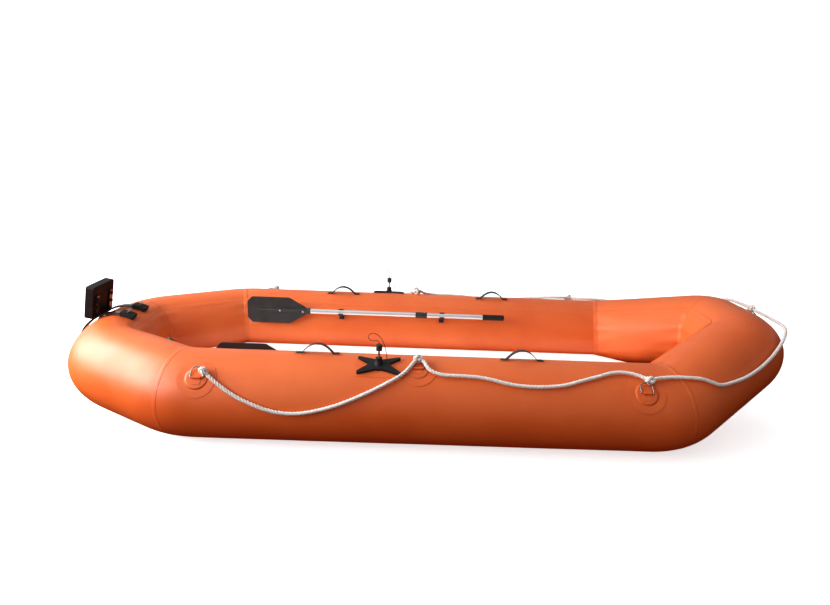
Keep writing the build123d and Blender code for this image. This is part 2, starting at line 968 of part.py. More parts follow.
# ---------------------------------------------------------------- build: oars

for side, side_name in SIDE_NAMES.items():
    lower_shaft = oar_length(side, socket_end_x - socket_depth, shaft_joint_x - 1, shaft_radius, shaft_bore_radius)
    upper_shaft = oar_length(side, shaft_joint_x + 1, grip_end_x - 10, upper_shaft_radius, shaft_bore_radius)
    sleeve = oar_length(side, sleeve_start_x, sleeve_end_x, sleeve_radius, shaft_radius)
    save(oar_blade(side), f"{side_name}_oar_blade")
    save(lower_shaft, f"{side_name}_oar_lower_shaft")
    save(with_button_hole(upper_shaft, side), f"{side_name}_oar_upper_shaft")
    save(with_button_hole(sleeve, side), f"{side_name}_oar_sleeve")
    save(snap_button(side), f"{side_name}_oar_button")
    save(oar_grip(side), f"{side_name}_oar_grip")

# ---------------------------------------------------------------- build: motor mount

save(mount_board(), "motor_mount_board")
save(mount_arms(), "motor_mount_arms")
save(mount_bolts(), "motor_mount_bolts")
with BuildPart() as mount_feet:
    add(mount_foot(STARBOARD))
    add(mount_foot(PORT))
save(mount_feet.part, "motor_mount_feet")
for side, side_name in SIDE_NAMES.items():
    save(thumb_screw(side), f"{side_name}_mount_screw")

# ---------------------------------------------------------------- build: cords

starboard_half = [aft_knot, *aft_span, middle_knot, *fore_span, fore_knot, *bow_span]
rope_route = [*starboard_half, nose_knot, *reversed(mirrored(starboard_half))]
save(cord(rope_route, rope_radius, "grab_line"), "grab_line")

side_knots = [aft_knot, middle_knot, fore_knot]
with BuildPart() as knots:
    with Locations(*side_knots, *mirrored(side_knots), nose_knot):
        Sphere(knot_radius)
save(knots.part, "grab_line_knots")

save(cord(keeper_points, keeper_radius, "starboard_rowlock_cord"), "starboard_rowlock_cord")
save(cord(mirrored(keeper_points), keeper_radius, "port_rowlock_cord"), "port_rowlock_cord")
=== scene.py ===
import math

import bmesh
import bpy
from mathutils import Matrix, Vector, noise
from mathutils.bvhtree import BVHTree


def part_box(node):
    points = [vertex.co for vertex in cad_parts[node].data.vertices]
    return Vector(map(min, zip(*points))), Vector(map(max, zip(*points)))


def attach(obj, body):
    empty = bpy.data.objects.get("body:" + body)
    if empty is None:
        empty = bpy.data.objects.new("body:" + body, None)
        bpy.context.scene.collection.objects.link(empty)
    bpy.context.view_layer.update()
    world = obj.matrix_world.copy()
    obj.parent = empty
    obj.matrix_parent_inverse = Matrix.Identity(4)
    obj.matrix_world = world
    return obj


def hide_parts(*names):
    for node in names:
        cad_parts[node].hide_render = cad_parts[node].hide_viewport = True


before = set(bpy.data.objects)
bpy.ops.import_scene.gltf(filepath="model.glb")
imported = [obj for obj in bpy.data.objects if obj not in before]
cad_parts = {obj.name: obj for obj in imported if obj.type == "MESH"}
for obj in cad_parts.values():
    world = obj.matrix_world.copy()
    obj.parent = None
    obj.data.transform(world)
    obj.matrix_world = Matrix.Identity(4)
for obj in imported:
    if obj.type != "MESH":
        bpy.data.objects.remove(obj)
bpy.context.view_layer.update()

SIDES = {"starboard": -1, "port": 1}


# ---- camera


def place_camera():
    """Camera at the photograph's place: looks across the boat, a little down, with a slight roll."""
    yaw, pitch, roll = (math.radians(turn) for turn in (1.08, 16.64, 2.42))
    ahead = Vector((math.sin(yaw) * math.cos(pitch), math.cos(yaw) * math.cos(pitch), -math.sin(pitch)))
    level = Vector((math.cos(yaw), -math.sin(yaw), 0))
    above = level.cross(ahead)
    right = level * math.cos(roll) + above * math.sin(roll)
    up = above * math.cos(roll) - level * math.sin(roll)
    camera = bpy.data.objects.new("camera", bpy.data.cameras.new("camera"))
    camera.data.sensor_fit = "HORIZONTAL"
    camera.data.sensor_width = 36
    camera.data.lens = 23.86
    turn = Matrix((right, up, -ahead)).transposed().to_4x4()
    camera.matrix_world = Matrix.Translation((-0.1075, -2.54, 1.22)) @ turn
    bpy.context.scene.collection.objects.link(camera)
    bpy.context.scene.camera = camera


place_camera()

# ---- materials

# Noise lies mostly in this span of its 0 to 1, so the two tones of a surface are at its ends
NOISE_SPAN = (0.3, 0.7)
# Scale at which a wave texture has one band for each unit of its coordinates
ONE_BAND_PER_UNIT = 0.314


def new_material(name, colour, roughness, **inputs):
    """Plain surface with its even values on the shader's own sockets."""
    material = bpy.data.materials.new(name)
    material.use_nodes = True
    shader = material.node_tree.nodes["Principled BSDF"]
    shader.inputs["Base Color"].default_value = (*colour, 1)
    shader.inputs["Roughness"].default_value = roughness
    for socket, value in inputs.items():
        shader.inputs[socket.replace("_", " ")].default_value = value
    return material


def add_node(material, kind, **values):
    """Node in a material; each value goes to the input of that name, or to the node itself."""
    node = material.node_tree.nodes.new(kind)
    for key, value in values.items():
        if key in node.inputs:
            node.inputs[key].default_value = value
        else:
            setattr(node, key, value)
    return node


def link(material, source, target):
    """Joins two sockets of a material."""
    material.node_tree.links.new(source, target)


def coordinates(material, scale, kind="Object"):
    """Object or UV coordinates, stretched."""
    place = add_node(material, "ShaderNodeTexCoord")
    stretch = add_node(material, "ShaderNodeMapping", Scale=scale)
    link(material, place.outputs[kind], stretch.inputs["Vector"])
    return stretch.outputs["Vector"]


def vary_colour(material, scale, dark, light, stretch=(1, 1, 1)):
    """Cloudy change of colour between two tones."""
    cloud = add_node(material, "ShaderNodeTexNoise", Scale=scale, Detail=5.0, Roughness=0.6)
    link(material, coordinates(material, stretch), cloud.inputs["Vector"])
    ramp = add_node(material, "ShaderNodeValToRGB")
    for stop, position, tone in zip(ramp.color_ramp.elements, NOISE_SPAN, (dark, light)):
        stop.position = position
        stop.color = (*tone, 1)
    link(material, cloud.outputs["Fac"], ramp.inputs["Fac"])
    shader = material.node_tree.nodes["Principled BSDF"]
    link(material, ramp.outputs["Color"], shader.inputs["Base Color"])


def vary_roughness(material, scale, low, high, stretch=(1, 1, 1)):
    """Cloudy change of roughness between two values."""
    cloud = add_node(material, "ShaderNodeTexNoise", Scale=scale, Detail=4.0)
    link(material, coordinates(material, stretch), cloud.inputs["Vector"])
    span = add_node(material, "ShaderNodeMapRange")
    for socket, value in zip(("From Min", "From Max", "To Min", "To Max"), (*NOISE_SPAN, low, high)):
        span.inputs[socket].default_value = value
    link(material, cloud.outputs["Fac"], span.inputs["Value"])
    shader = material.node_tree.nodes["Principled BSDF"]
    link(material, span.outputs["Result"], shader.inputs["Roughness"])


def add_bump(material, height, distance, strength):
    """Bump from a height socket, laid over any bump that is there already."""
    shader = material.node_tree.nodes["Principled BSDF"]
    bump = add_node(material, "ShaderNodeBump", Strength=strength, Distance=distance)
    link(material, height, bump.inputs["Height"])
    under = shader.inputs["Normal"].links
    if under:
        link(material, under[0].from_socket, bump.inputs["Normal"])
    link(material, bump.outputs["Normal"], shader.inputs["Normal"])


def grain_bump(material, scale, distance, strength, stretch=(1, 1, 1)):
    """Fine uneven grain."""
    grain = add_node(material, "ShaderNodeTexNoise", Scale=scale, Detail=4.0, Roughness=0.55)
    link(material, coordinates(material, stretch), grain.inputs["Vector"])
    add_bump(material, grain.outputs["Fac"], distance, strength)


def weave_bump(material, threads, distance, strength):
    """Plain weave: two crossed sets of threads, threads per metre of the cloth's own UVs."""
    place = coordinates(material, (threads, threads, threads), "UV")
    mix = add_node(material, "ShaderNodeMath", operation="MULTIPLY")
    for direction, factor in zip(("X", "Y"), mix.inputs):
        wave = add_node(material, "ShaderNodeTexWave", bands_direction=direction, Scale=ONE_BAND_PER_UNIT)
        link(material, place, wave.inputs["Vector"])
        link(material, wave.outputs["Fac"], factor)
    add_bump(material, mix.outputs["Value"], distance, strength)


ORANGE_DARK = (0.68, 0.122, 0.024)
ORANGE_LIGHT = (0.77, 0.166, 0.038)
ORANGE_PATCH = (0.73, 0.144, 0.030)

coated = new_material("coated_fabric", ORANGE_LIGHT, 0.42, Specular_IOR_Level=0.55)
vary_colour(coated, 2.6, ORANGE_DARK, ORANGE_LIGHT)
vary_roughness(coated, 9, 0.36, 0.50)
weave_bump(coated, 700, 0.00012, 0.5)
grain_bump(coated, 16, 0.0016, 0.35)

taped = new_material("seam_tape", ORANGE_PATCH, 0.42, Specular_IOR_Level=0.55)
vary_colour(taped, 2.6, ORANGE_DARK, ORANGE_LIGHT)
weave_bump(taped, 700, 0.00012, 0.5)
grain_bump(taped, 60, 0.0004, 0.3)

patched = new_material("patch_orange_cloth", ORANGE_PATCH, 0.44, Specular_IOR_Level=0.5)
vary_colour(patched, 9, (0.67, 0.120, 0.024), (0.76, 0.162, 0.036))
vary_roughness(patched, 25, 0.38, 0.55)
grain_bump(patched, 90, 0.0005, 0.4)

deck_cloth = new_material("deck_cloth", (0.93, 0.92, 0.91), 0.45, Specular_IOR_Level=0.45)
vary_colour(deck_cloth, 3, (0.88, 0.87, 0.86), (0.95, 0.94, 0.93))
vary_roughness(deck_cloth, 12, 0.38, 0.55)
weave_bump(deck_cloth, 160, 0.0004, 0.6)
grain_bump(deck_cloth, 22, 0.001, 0.3)

bottom_cloth = new_material("bottom_cloth", (0.05, 0.05, 0.055), 0.6)
vary_colour(bottom_cloth, 8, (0.03, 0.03, 0.033), (0.07, 0.07, 0.075))
grain_bump(bottom_cloth, 300, 0.0004, 0.5)

webbing = new_material("webbing", (0.02, 0.02, 0.022), 0.7, Sheen_Weight=0.08, Sheen_Roughness=0.5)
vary_colour(webbing, 120, (0.010, 0.010, 0.011), (0.028, 0.027, 0.028))
weave_bump(webbing, 900, 0.0006, 0.9)

thread = new_material("thread", (0.10, 0.10, 0.105), 0.7)
grain_bump(thread, 3000, 0.0002, 0.6)

soft_rubber = new_material("soft_rubber", (0.016, 0.016, 0.016), 0.6, Specular_IOR_Level=0.3)
vary_colour(soft_rubber, 60, (0.010, 0.010, 0.010), (0.024, 0.023, 0.023))
vary_roughness(soft_rubber, 60, 0.52, 0.70)
grain_bump(soft_rubber, 700, 0.0003, 0.5)

moulded = new_material("moulded_plastic", (0.036, 0.035, 0.036), 0.45, Specular_IOR_Level=0.4)
vary_colour(moulded, 18, (0.028, 0.027, 0.028), (0.046, 0.044, 0.045))
vary_roughness(moulded, 30, 0.34, 0.52)
grain_bump(moulded, 1100, 0.0002, 0.5)

valve_grey = new_material("valve_plastic_grey", (0.04, 0.042, 0.046), 0.42)
vary_colour(valve_grey, 60, (0.030, 0.032, 0.036), (0.052, 0.054, 0.058))
grain_bump(valve_grey, 900, 0.0002, 0.5)

drawn_aluminium = new_material("drawn_aluminium", (0.78, 0.78, 0.79), 0.3, Metallic=1.0)
vary_colour(drawn_aluminium, 30, (0.68, 0.68, 0.69), (0.84, 0.84, 0.85), (0.15, 8, 8))
vary_roughness(drawn_aluminium, 40, 0.24, 0.42, (0.1, 8, 8))
grain_bump(drawn_aluminium, 200, 0.00015, 0.5, (0.03, 6, 6))

steel = new_material("bright_steel_metal", (0.50, 0.49, 0.48), 0.24, Metallic=1.0)
vary_roughness(steel, 90, 0.16, 0.36)
grain_bump(steel, 400, 0.0001, 0.4)

enamel = new_material("black_enamel", (0.018, 0.018, 0.02), 0.22, Coat_Weight=0.6, Coat_Roughness=0.12)
vary_colour(enamel, 30, (0.012, 0.012, 0.014), (0.03, 0.03, 0.032))
grain_bump(enamel, 120, 0.0004, 0.35)

lacquer = new_material("lacquered_board", (0.012, 0.008, 0.008), 0.55, Specular_IOR_Level=0.25)
vary_colour(lacquer, 14, (0.008, 0.005, 0.005), (0.020, 0.013, 0.013), (1, 1, 9))
grain_bump(lacquer, 40, 0.0006, 0.4, (1, 1, 14))

ring_steel = new_material("ring_steel", (0.27, 0.26, 0.25), 0.34, Metallic=1.0)
vary_roughness(ring_steel, 90, 0.26, 0.46)
grain_bump(ring_steel, 400, 0.0001, 0.4)

rope_fibre = new_material("rope_fibre", (0.80, 0.76, 0.72), 0.8, Sheen_Weight=0.3)
vary_colour(rope_fibre, 90, (0.66, 0.60, 0.55), (0.88, 0.85, 0.82))
grain_bump(rope_fibre, 1500, 0.0005, 0.8)

elastic = new_material("elastic_cord", (0.02, 0.02, 0.02), 0.7, Sheen_Weight=0.2)
vary_colour(elastic, 500, (0.01, 0.01, 0.01), (0.05, 0.045, 0.045))
grain_bump(elastic, 2500, 0.0002, 0.8)

# ---- mesh helpers


def piece(name, verts, faces, body, slot, material, uvs=None):
    """New smooth mesh object that rides on a body; uvs holds one pair of metres for each vertex."""
    mesh = bpy.data.meshes.new(name)
    mesh.from_pydata([tuple(vert) for vert in verts], [], faces)
    if uvs:
        layer = mesh.uv_layers.new(name="cloth")
        for loop in mesh.loops:
            layer.data[loop.index].uv = uvs[loop.vertex_index]
    mesh.polygons.foreach_set("use_smooth", [True] * len(mesh.polygons))
    mesh.validate()
    mesh.update()
    return mesh_object(name, mesh, body, material)


def mesh_object(name, mesh, body, material):
    """Object of a mesh, in one material, that rides on a body."""
    obj = bpy.data.objects.new(name, mesh)
    bpy.context.scene.collection.objects.link(obj)
    mesh.materials.append(material)
    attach(obj, body)
    return obj


def grid_faces(rows, columns, wrap=False, start=0):
    """Quads between rows of vertices that follow each other; wrap joins the last column to the first."""
    faces = []
    for row in range(rows - 1):
        for column in range(columns if wrap else columns - 1):
            beside = (column + 1) % columns
            a = start + row * columns
            faces.append((a + column, a + beside, a + columns + beside, a + columns + column))
    return faces


def apply_modifiers(obj):
    """Makes the modifiers' result the object's own mesh."""
    bpy.context.view_layer.update()
    graph = bpy.context.evaluated_depsgraph_get()
    mesh = bpy.data.meshes.new_from_object(obj.evaluated_get(graph))
    obj.modifiers.clear()
    obj.data = mesh


def thicken(obj, thickness):
    """Gives a surface its thickness, inward from where it lies."""
    solid = obj.modifiers.new("thickness", "SOLIDIFY")
    solid.thickness = thickness
    solid.offset = -1


def bevel(obj, width):
    """Rounds the sharp edges of a CAD node."""
    edges = obj.modifiers.new("edges", "BEVEL")
    edges.width = width
    edges.segments = 2
    edges.limit_method = "ANGLE"
    edges.angle_limit = math.radians(35)
    edges.harden_normals = False


def smoothstep(value):
    """Rises smoothly from 0 to 1 while the value does."""
    value = max(0.0, min(1.0, value))
    return value * value * (3 - 2 * value)


def tube_along(line, radius, sides):
    """Vertices and faces of a closed-ended tube along points."""
    verts = []
    for point, (across, over) in zip(line, carried_frames(line)):
        for step in range(sides):
            angle = math.tau * step / sides
            verts.append(point + (across * math.cos(angle) + over * math.sin(angle)) * radius)
    faces = grid_faces(len(line), sides, wrap=True)
    faces.append(tuple(reversed(range(sides))))
    last = (len(line) - 1) * sides
    faces.append(tuple(range(last, last + sides)))
    return verts, faces


def carried_frames(line):
    """Two directions square to the line at each point, turned as little as possible."""
    frames = []
    across = None
    for index, point in enumerate(line):
        ahead = (line[min(index + 1, len(line) - 1)] - line[max(index - 1, 0)]).normalized()
        if across is None:
            across = ahead.orthogonal().normalized()
        across = (across - ahead * across.dot(ahead)).normalized()
        frames.append((across, ahead.cross(across)))
    return frames


def evenly(line, step):
    """Points at equal distances along a line."""
    out, carried = [line[0].copy()], 0.0
    for a, b in zip(line, line[1:]):
        run = (b - a).length
        at = step - carried
        while at <= run:
            out.append(a.lerp(b, at / run))
            at += step
        carried = run - (at - step)
    if (out[-1] - line[-1]).length > step * 0.3:
        out.append(line[-1].copy())
    return out


def join_parts(parts):
    """Several (vertices, faces) as one."""
    verts, faces = [], []
    for part_verts, part_faces in parts:
        base = len(verts)
        verts += part_verts
        faces += [tuple(index + base for index in face) for face in part_faces]
    return verts, faces


# ---- cords


def route_curve(name, route):
    """Curve whose NURBS control points are the route's points, in metres."""
    curve = bpy.data.curves.new(name, "CURVE")
    curve.dimensions = "3D"
    curve.resolution_u = 10
    spline = curve.splines.new("NURBS")
    spline.points.add(len(route) - 1)
    for point, place in zip(spline.points, route):
        point.co = (*place, 1)
    spline.order_u = 3
    spline.use_endpoint_u = True
    obj = bpy.data.objects.new(name, curve)
    bpy.context.scene.collection.objects.link(obj)
    return obj


def line_of(obj):
    """Points along the line of a curve that has no bevel."""
    bpy.context.view_layer.update()
    graph = bpy.context.evaluated_depsgraph_get()
    mesh = bpy.data.meshes.new_from_object(obj.evaluated_get(graph))
    points = [vertex.co.copy() for vertex in mesh.vertices]
    bpy.data.meshes.remove(mesh)
    return points


AFT_KNOT = (-0.868, -0.597, 0.335)
MIDDLE_KNOT = (-0.048, -0.507, 0.379)
FORE_KNOT = (0.859, -0.576, 0.351)
NOSE_KNOT = (1.572, 0, 0.494)
AFT_SPAN = [
    (-0.842, -0.612, 0.318), (-0.802, -0.627, 0.292), (-0.739, -0.644, 0.255), (-0.673, -0.654, 0.229),
    (-0.612, -0.659, 0.208), (-0.553, -0.660, 0.199), (-0.492, -0.660, 0.201), (-0.434, -0.657, 0.212),
    (-0.358, -0.653, 0.234), (-0.284, -0.642, 0.264), (-0.219, -0.626, 0.291), (-0.162, -0.607, 0.317),
    (-0.110, -0.582, 0.339), (-0.082, -0.553, 0.356), (-0.066, -0.526, 0.370),
]
FORE_SPAN = [
    (-0.026, -0.516, 0.378), (-0.015, -0.541, 0.366), (0, -0.560, 0.353), (0.042, -0.576, 0.343),
    (0.112, -0.577, 0.342), (0.182, -0.579, 0.341), (0.233, -0.584, 0.336), (0.276, -0.594, 0.329),
    (0.330, -0.601, 0.321), (0.391, -0.604, 0.318), (0.455, -0.603, 0.320), (0.524, -0.597, 0.325),
    (0.594, -0.578, 0.340), (0.661, -0.560, 0.351), (0.727, -0.537, 0.363), (0.783, -0.536, 0.363),
    (0.826, -0.552, 0.359),
]
BOW_SPAN = [
    (0.893, -0.562, 0.354), (0.960, -0.550, 0.357), (1.030, -0.549, 0.356), (1.082, -0.546, 0.352),
    (1.124, -0.549, 0.339), (1.161, -0.546, 0.325), (1.214, -0.522, 0.326), (1.300, -0.478, 0.333),
    (1.386, -0.424, 0.352), (1.468, -0.366, 0.384), (1.522, -0.323, 0.418), (1.562, -0.285, 0.451),
    (1.597, -0.229, 0.476), (1.602, -0.150, 0.479), (1.592, -0.070, 0.486),
]
KEEPER_ROUTE = [
    (-0.17, -0.53, 0.366), (-0.17, -0.53, 0.378), (-0.172, -0.531, 0.401), (-0.177, -0.532, 0.426),
    (-0.185, -0.532, 0.452), (-0.198, -0.531, 0.475), (-0.216, -0.53, 0.488), (-0.234, -0.53, 0.489),
    (-0.246, -0.53, 0.478), (-0.243, -0.53, 0.464), (-0.231, -0.53, 0.457), (-0.215, -0.53, 0.459),
    (-0.205, -0.53, 0.457), (-0.202, -0.53, 0.451), (-0.202, -0.53, 0.4433),
]
STRAND_RADIUS = 0.0038
STRAND_OFFSET = 0.0042
ROPE_PITCH = 0.042
KNOT_SIZE = 0.0155
KEEPER_DIAMETER = 0.0026


def mirrored(points):
    """The same places on the other side of the boat."""
    return [(x, -y, z) for x, y, z in points]


def rope_strands(line, step=0.0045, sides=7):
    """Three strands twisted round a line."""
    line = evenly(line, step)
    frames = carried_frames(line)
    strands = []
    for strand in range(3):
        centre = []
        for index, (point, (across, over)) in enumerate(zip(line, frames)):
            angle = math.tau * (index * step / ROPE_PITCH + strand / 3)
            centre.append(point + (across * math.cos(angle) + over * math.sin(angle)) * STRAND_OFFSET)
        strands.append(tube_along(centre, STRAND_RADIUS, sides))
    return join_parts(strands)


def knot_line(centre, ahead, out, size):
    """Closed line of an overhand knot, pulled tight: ahead is the rope's direction there."""
    beside = ahead.cross(out).normalized()
    line = []
    for step in range(73):
        turn = math.tau * step / 72
        reach = 2 + math.cos(3 * turn)
        along = reach * math.cos(2 * turn)
        over = reach * math.sin(2 * turn)
        lift = math.sin(3 * turn)
        line.append(centre + (ahead * along * 0.33 + out * over * 0.33 + beside * lift * 0.45) * size)
    return line


HALF_ROUTE = [AFT_KNOT, *AFT_SPAN, MIDDLE_KNOT, *FORE_SPAN, FORE_KNOT, *BOW_SPAN]
GRAB_ROUTE = [*HALF_ROUTE, NOSE_KNOT, *reversed(mirrored(HALF_ROUTE))]


def make_grab_line():
    """The rope round the boat, its strands, and the knots that tie it to the rings."""
    guide = route_curve("grab_line_route", GRAB_ROUTE)
    line = line_of(guide)
    bpy.data.objects.remove(guide)
    rope = piece("grab_line_rope", *rope_strands(line), "hull", "rope_white", rope_fibre)
    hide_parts("grab_line")
    knots = []
    for place in (AFT_KNOT, MIDDLE_KNOT, FORE_KNOT, NOSE_KNOT):
        for x, y, z in {place, mirrored([place])[0]}:
            centre = Vector((x, y, z))
            near = min(range(len(line)), key=lambda index: (line[index] - centre).length)
            low, high = max(near - 3, 0), min(near + 3, len(line) - 1)
            ahead = (line[high] - line[low]).normalized()
            out = Vector((0, math.copysign(1, y) if abs(y) > 0.01 else 0, 1)).normalized()
            out = (out - ahead * out.dot(ahead)).normalized()
            knots.append(rope_strands(knot_line(centre, ahead, out, KNOT_SIZE), 0.004, 6))
    tied = piece("grab_line_tied_knots", *join_parts(knots), "hull", "rope_white", rope_fibre)
    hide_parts("grab_line_knots")


def make_keeper_cords():
    """The thin cord at each rowlock, from its base up, round in a loop and into the top of its knob."""
    for side_name, side in SIDES.items():
        route = mirrored(KEEPER_ROUTE) if side == SIDES["port"] else KEEPER_ROUTE
        cord = route_curve(f"{side_name}_rowlock_keeper", route)
        cord.data.bevel_depth = KEEPER_DIAMETER / 2
        cord.data.bevel_resolution = 3
        cord.data.use_fill_caps = True
        cord.data.materials.append(elastic)
        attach(cord, "hull")
        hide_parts(f"{side_name}_rowlock_cord")


make_grab_line()
make_keeper_cords()

# ---- hull skins

TUBE = 0.182
SIDE_Y = 0.4665
NOSE_X, NOSE_Z = 1.463, 0.325
# Corners of the line in the middle of the tubes, anticlockwise from above
AXIS = [
    Vector((-1.463, -0.200, TUBE)),
    Vector((-1.008, -SIDE_Y, TUBE)),
    Vector((1.002, -SIDE_Y, TUBE)),
    Vector((NOSE_X, -0.155, NOSE_Z)),
    Vector((NOSE_X, 0.155, NOSE_Z)),
    Vector((1.002, SIDE_Y, TUBE)),
    Vector((-1.008, SIDE_Y, TUBE)),
    Vector((-1.463, 0.200, TUBE)),
]
GORES = [
    "starboard_stern_quarter",
    "starboard_side_tube",
    "starboard_bow_quarter",
    "bow_nose_tube",
    "port_bow_quarter",
    "port_side_tube",
    "port_stern_quarter",
    "stern_cross_tube",
]
AROUND = 144
BEND_STEPS = 10
RUN_STEP = 0.035
FABRIC = 0.0012
TAPE_THICKNESS = 0.0005
# Lowest height of the skins and of the tapes: the tubes stand a little flattened
SKIN_FOOT, TAPE_FOOT = 0.0014, 0.0003
# How far from each corner its outer and its inner side start to bend
OUTER_BEND = [0.25, 0.12, 0.14, 0.15, 0.15, 0.14, 0.12, 0.25]
INNER_BEND = 0.012
# Direction of each run of the axis, from its corner to the next
runs = [(AXIS[(index + 1) % 8] - AXIS[index]).normalized() for index in range(8)]


def ring_offsets(angle):
    """Offsets from the axis of one line along the ring of tubes, one for each run."""
    offset = (Vector((0, -1, 0)) * math.cos(angle) + Vector((0, 0, 1)) * math.sin(angle)) * TUBE
    offsets = [None] * 8
    offsets[1] = offset
    for index in range(1, 8):
        here, following = index % 8, (index + 1) % 8
        mitre = runs[here] + runs[following]
        corner = offset - runs[here] * (offset.dot(mitre) / runs[here].dot(mitre))
        offset = corner - runs[following] * corner.dot(runs[following])
        offsets[following] = offset
    return offsets


def corner_point(index, offsets):
    """Where one line along the tubes meets the mitre plane at a corner of the axis."""
    before = runs[index - 1]
    mitre = before + runs[index]
    offset = offsets[index - 1]
    return AXIS[index] + offset - before * (offset.dot(mitre) / before.dot(mitre))


class HullLine:
    """One line along the skin at an angle round the tube, rounded at each corner."""

    def __init__(self, angle):
        """Corners of the line, and how far from each it bends: little inside, more outside."""
        self.offsets = ring_offsets(angle)
        self.corners = [corner_point(index, self.offsets) for index in range(8)]
        self.bends = []
        for index in range(8):
            outward = (runs[index - 1] - runs[index]).normalized()
            share = smoothstep((self.offsets[index].dot(outward) / TUBE + 1) / 2)
            bend = INNER_BEND + (OUTER_BEND[index] - INNER_BEND) * share
            shorter = min(self.length(index - 1), self.length(index))
            self.bends.append(min(bend, 0.42 * shorter))

    def length(self, index):
        """Length of one run, from corner to corner."""
        return (self.corners[(index + 1) % 8] - self.corners[index % 8]).length

    def at_corner(self, index, distance):
        """Point and outward direction at a distance past the middle of a corner, or before it."""
        bend = self.bends[index]
        corner = self.corners[index]
        before, after = runs[index - 1], runs[index]
        share = max(-0.5, min(0.5, distance / (2 * bend))) + 0.5
        start, end = corner - before * bend, corner + after * bend
        point = start * (1 - share) ** 2 + corner * (2 * share * (1 - share)) + end * share**2
        if distance > bend:
            point = corner + after * distance
        if distance < -bend:
            point = corner + before * distance
        out = (self.offsets[index - 1] * (1 - share) + self.offsets[index] * share).normalized()
        return point, out

    def along(self, index, run_steps):
        """Points and outward directions from the middle of one corner to the middle of the next."""
        following = (index + 1) % 8
        rows = []
        for step in range(BEND_STEPS):
            rows.append(self.at_corner(index, self.bends[index] * step / BEND_STEPS))
        start = self.corners[index] + runs[index] * self.bends[index]
        end = self.corners[following] - runs[index] * self.bends[following]
        out = self.offsets[index].normalized()
        for step in range(run_steps + 1):
            rows.append((start.lerp(end, step / run_steps), out))
        for step in range(1, BEND_STEPS + 1):
            rows.append(self.at_corner(following, -self.bends[following] * (1 - step / BEND_STEPS)))
        return rows


def pucker(point, angle):
    """Small unevenness of the inflated fabric: slow waves, and folds at the inner corners."""
    lift = 0.0009 * noise.noise(point * 2.3) + 0.0004 * noise.noise(point * 9.0)
    for corner, axis_point in enumerate(AXIS):
        outward = (runs[corner - 1] - runs[corner]).normalized()
        reach = point - axis_point
        inside = -reach.dot(outward) / TUBE
        if inside <= 0.1 or reach.length > 0.6:
            continue
        along = abs(reach.dot((runs[corner - 1] + runs[corner]).normalized()))
        fade = math.exp(-((along / 0.075) ** 2)) * smoothstep((inside - 0.1) / 0.8)
        wave = math.sin(17 * angle + 2.2 * noise.noise(point * 5 + Vector((corner, 0, 0))))
        lift += 0.0022 * fade * wave - 0.0012 * fade
    return lift


hull_lines = [HullLine(math.tau * step / AROUND) for step in range(AROUND)]


def gore_skin(index, name):
    """Skin of one gore, from the middle of one corner to the middle of the next."""
    run_steps = max(6, round((AXIS[(index + 1) % 8] - AXIS[index]).length / RUN_STEP))
    columns = []
    for step, line in enumerate(hull_lines):
        angle = math.tau * step / AROUND
        columns.append([point + out * pucker(point, angle) for point, out in line.along(index, run_steps)])
    rows = len(columns[0])
    verts, uvs = [], []
    for row in range(rows):
        for step in range(AROUND):
            place = columns[step][row]
            place.z = max(place.z, SKIN_FOOT)
            verts.append(place)
            uvs.append((place.dot(runs[index]), TUBE * math.tau * step / AROUND))
    faces = [tuple(reversed(face)) for face in grid_faces(rows, AROUND, wrap=True)]
    skin = piece(f"{name}_skin", verts, faces, "hull", "hull_rubber", coated, uvs=uvs)
    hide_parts(name)
    return skin


def cut_round_hole(obj, seat, normal, radius, depth=0.03):
    """Round hole through a skin, square to it."""
    cutter_mesh = bpy.data.meshes.new("cutter")
    shape = bmesh.new()
    turn = normal.to_track_quat("Z", "Y").to_matrix().to_4x4()
    bmesh.ops.create_cone(
        shape, cap_ends=True, segments=40, radius1=radius, radius2=radius, depth=2 * depth,
        matrix=Matrix.Translation(seat) @ turn,
    )
    shape.to_mesh(cutter_mesh)
    shape.free()
    cutter = bpy.data.objects.new("cutter", cutter_mesh)
    bpy.context.scene.collection.objects.link(cutter)
    cut = obj.modifiers.new("hole", "BOOLEAN")
    cut.operation = "DIFFERENCE"
    cut.object = cutter
    cut.solver = "EXACT"
    apply_modifiers(obj)
    bpy.data.objects.remove(cutter)


# Middle of each valve's seat, and its direction out of the fabric
VALVES = {
    "aft": (Vector((-1.16015, -0.20461, 0.28639)), Vector((0.41400, 0.70683, 0.57358))),
    "fore": (Vector((0.640, -0.31741, 0.28639)), Vector((0, 0.81915, 0.57358))),
    "deck": (Vector((-1.000, -0.150, 0.121)), Vector((0, 0, 1))),
}
VALVE_HOLE = 0.0246

for gore_index, gore_name in enumerate(GORES):
    skin = gore_skin(gore_index, gore_name)
    thicken(skin, FABRIC)
    if gore_name == "starboard_stern_quarter":
        cut_round_hole(skin, *VALVES["aft"], VALVE_HOLE)
    elif gore_name == "starboard_side_tube":
        cut_round_hole(skin, *VALVES["fore"], VALVE_HOLE)
    else:
        apply_modifiers(skin)


def make_seam_tapes():
    """Overlap tapes, one round the tubes at each corner."""
    half_width, steps, lift = 0.009, 6, 0.0003
    for index in range(8):
        name = f"{GORES[index]}_ring_tape"
        verts, uvs = [], []
        for row in range(steps + 1):
            distance = half_width * (2 * row / steps - 1)
            edge = 0.5 if row in (0, steps) else 1.0
            for step, line in enumerate(hull_lines):
                angle = math.tau * step / AROUND
                point, out = line.at_corner(index, distance)
                place = point + out * (pucker(point, angle) + lift * edge)
                place.z = max(place.z, TAPE_FOOT)
                verts.append(place)
                uvs.append((distance, TUBE * angle))
        faces = [tuple(reversed(face)) for face in grid_faces(steps + 1, AROUND, wrap=True)]
        tape = piece(name, verts, faces, "hull", "hull_rubber", taped, uvs=uvs)
        thicken(tape, TAPE_THICKNESS)
        apply_modifiers(tape)


